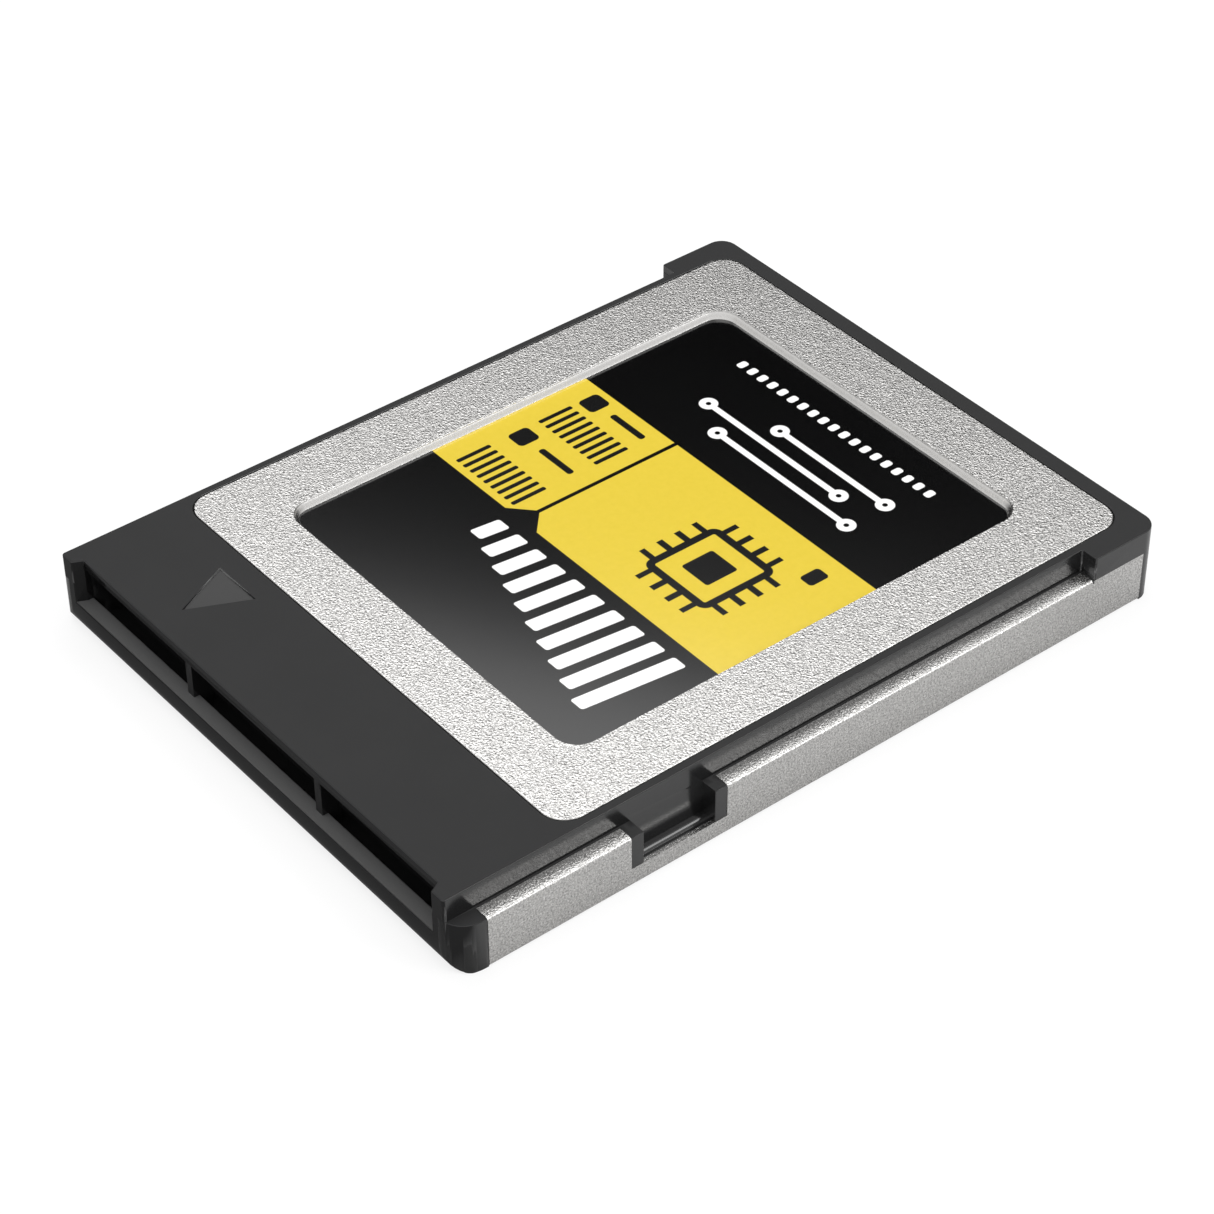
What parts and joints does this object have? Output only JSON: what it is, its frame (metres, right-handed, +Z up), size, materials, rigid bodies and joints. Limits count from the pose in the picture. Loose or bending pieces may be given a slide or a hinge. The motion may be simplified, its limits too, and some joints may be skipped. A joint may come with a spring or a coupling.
{
  "type": "memory card",
  "caption": "Flat solid-state memory card: black moulded frame with stepped guide rails and a front connector mouth, flush metal cover with a recessed label.",
  "frame": {"origin": "centre of the footprint, on the underside", "axes": "+Z up through the labelled face, +Y towards the connector end, +X to the right when seen from the rear end"},
  "size_m": [0.0296, 0.0384, 0.0038],
  "materials": {
    "housing": "fine satin moulding texture",
    "cover_metal": "bead-blasted, satin",
    "shell_metal": "bead-blasted, satin",
    "label": "glossy printed film",
    "board": "solder mask",
    "contact": "gold plated",
    "carrier": "moulded",
    "chip": "moulded package",
    "ceramic": "ceramic with tinned ends",
    "inductor": "pressed ferrite",
    "pad": "soft heat pad"
  },
  "bodies": {
    "root": {"bottom_cover": "shell_metal", "buffer_chip": "chip", "capacitors_bottom": "ceramic", "capacitors_top": "ceramic", "circuit_board": "board", "clock_crystal": "ceramic", "contact_01": "contact", "contact_02": "contact", "contact_03": "contact", "contact_04": "contact", "contact_05": "contact", "contact_06": "contact", "contact_07": "contact", "contact_08": "contact", "contact_09": "contact", "contact_10": "contact", "contact_11": "contact", "contact_12": "contact", "contact_13": "contact", "contact_14": "contact", "contact_15": "contact", "contact_16": "contact", "contact_17": "contact", "contact_18": "contact", "contact_19": "contact", "contact_20": "contact", "contact_carrier": "carrier", "controller_chip": "chip", "frame_housing": "housing", "inductor_01": "inductor", "inductor_02": "inductor", "inductor_03": "inductor", "label": "label", "memory_chip_bottom_front": "chip", "memory_chip_bottom_rear": "chip", "memory_chip_top": "chip", "power_chip": "chip", "resistors_top": "chip", "thermal_pad_bottom_front": "pad", "thermal_pad_bottom_rear": "pad", "thermal_pad_controller": "pad", "thermal_pad_memory": "pad", "top_cover": "cover_metal"}
  },
  "joints": []
}
